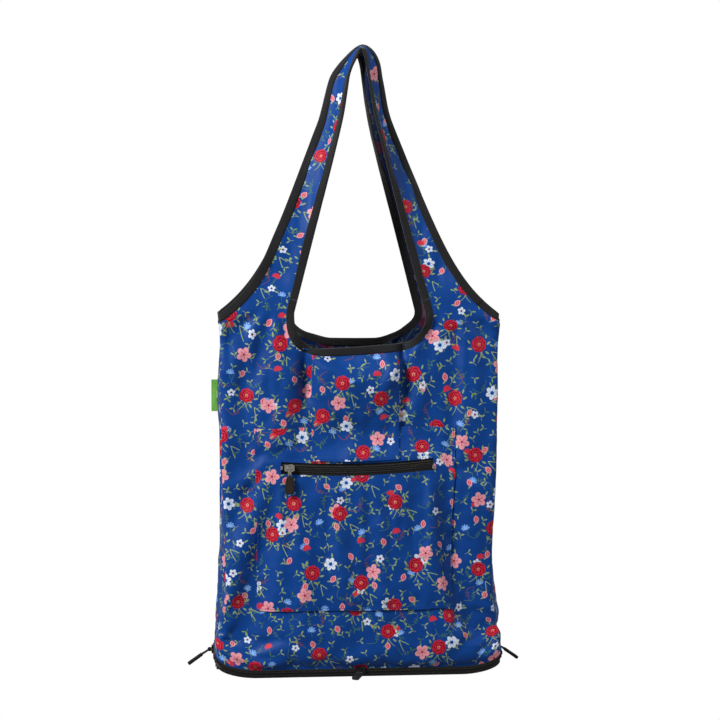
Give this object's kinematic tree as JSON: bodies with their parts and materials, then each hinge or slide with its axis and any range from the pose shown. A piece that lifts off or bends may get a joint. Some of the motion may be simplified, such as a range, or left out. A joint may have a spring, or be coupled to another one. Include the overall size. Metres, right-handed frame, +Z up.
{
  "type": "foldable tote bag",
  "caption": "Soft vest-shaped folding tote bag with two looped handles, a zipped patch pocket and a zip round its base.",
  "frame": {"origin": "centre of the underside", "axes": "+Z up along the bag, -Y out of the front with the pocket, +X to the right seen from the front"},
  "size_m": [0.3784, 0.14, 0.6971],
  "materials": {
    "print_cloth": "printed polyester, slight sheen",
    "binding": "folded woven tape",
    "zip_tape": "woven zip tape",
    "zip_coil": "moulded nylon",
    "slider_metal": "antique plated",
    "dark_metal": "gunmetal",
    "grip": "moulded, ribbed",
    "label": "plain woven"
  },
  "bodies": {
    "back": {"back_panel": "print_cloth", "left_gusset": "print_cloth", "right_gusset": "print_cloth", "left_armhole_binding": "binding", "right_armhole_binding": "binding", "base_cover": "print_cloth", "base_floor": "print_cloth", "back_hem_binding": "binding", "back_strap_roots": "print_cloth", "left_zip_run": "zip_tape", "right_zip_run": "zip_tape"},
    "front": {"front_panel": "print_cloth", "front_hem_binding": "binding", "pocket_panel": "print_cloth", "pocket_top_strip": "print_cloth", "centre_band": "print_cloth", "pocket_zip_tapes": "zip_tape", "pocket_zip_coil": "zip_coil", "pocket_zip_stops": "zip_coil", "base_zip_tapes": "zip_tape", "base_zip_coil": "zip_coil"},
    "front_roots": {"front_strap_roots": "print_cloth"},
    "front_handle": {"front_handle": "print_cloth", "front_handle_inner_binding": "binding", "front_handle_outer_binding": "binding"},
    "back_handle": {"back_handle": "print_cloth", "back_handle_inner_binding": "binding", "back_handle_outer_binding": "binding"},
    "pocket_slider": {"pocket_zip_slider": "slider_metal"},
    "pocket_pull": {"pocket_pull_tab": "slider_metal", "pocket_pull_grip": "grip"},
    "centre_slider": {"centre_zip_slider": "dark_metal"},
    "centre_pull": {"centre_pull_tab": "dark_metal", "centre_pull_grip": "grip"},
    "left_slider": {"left_zip_slider": "dark_metal"},
    "left_pull": {"left_pull_tab": "dark_metal", "left_pull_grip": "grip"},
    "right_slider": {"right_zip_slider": "dark_metal"},
    "right_pull": {"right_pull_tab": "dark_metal", "right_pull_grip": "grip"},
    "label": {"side_label": "label"}
  },
  "joints": [
    {"name": "flatten", "type": "slide", "parent": "back", "child": "front", "axis": [0, -1, 0], "range_m": [-0.076, 0], "deforming": ["left_gusset", "right_gusset", "left_armhole_binding", "right_armhole_binding", "left_zip_run", "right_zip_run"]},
    {"name": "front_handle_lean", "type": "hinge", "parent": "front", "child": "front_roots", "pos_m": [0, -0.05, 0.4], "axis": [1, 0, 0], "range_deg": [0, 16]},
    {"name": "front_handle_fold", "type": "hinge", "parent": "front_roots", "child": "front_handle", "pos_m": [0, -0.0514, 0.413], "axis": [1, 0, 0], "range_deg": [0, 172]},
    {"name": "back_handle_fold", "type": "hinge", "parent": "back", "child": "back_handle", "pos_m": [0, 0.0514, 0.413], "axis": [-1, 0, 0], "range_deg": [0, 172]},
    {"name": "pocket_zip_slide", "type": "slide", "parent": "front", "child": "pocket_slider", "axis": [1, 0, 0], "range_m": [0, 0.149]},
    {"name": "pocket_pull_swing", "type": "hinge", "parent": "pocket_slider", "child": "pocket_pull", "pos_m": [-0.0775, -0.0625, 0.232], "axis": [-1, 0, 0], "range_deg": [0, 170]},
    {"name": "centre_zip_slide", "type": "slide", "parent": "front", "child": "centre_slider", "axis": [1, 0, 0], "range_m": [-0.13, 0.13]},
    {"name": "centre_pull_swing", "type": "hinge", "parent": "centre_slider", "child": "centre_pull", "pos_m": [0, -0.0562, 0.0074], "axis": [-1, 0, 0], "range_deg": [0, 80]},
    {"name": "left_zip_slide", "type": "slide", "parent": "back", "child": "left_slider", "axis": [0, -0.9872, -0.1595], "range_m": [-0.0055, 0.0465]},
    {"name": "left_pull_swing", "type": "hinge", "parent": "left_slider", "child": "left_pull", "pos_m": [-0.1644, 0.02415, 0.01809], "axis": [0, 0.9872, 0.1595], "range_deg": [0, 105]},
    {"name": "right_zip_slide", "type": "slide", "parent": "back", "child": "right_slider", "axis": [0, -0.9872, -0.1595], "range_m": [-0.0055, 0.0465]},
    {"name": "right_pull_swing", "type": "hinge", "parent": "right_slider", "child": "right_pull", "pos_m": [0.1644, 0.02415, 0.01809], "axis": [0, -0.9872, -0.1595], "range_deg": [0, 105]},
    {"name": "label_flip", "type": "hinge", "parent": "back", "child": "label", "pos_m": [-0.1583, 0.042, 0.307], "axis": [0, 0, 1], "range_deg": [-75, 75]}
  ],
  "couplings": [
    {"joint": "front_handle_lean", "follows": "flatten", "rad_per_m": -3.37}
  ]
}
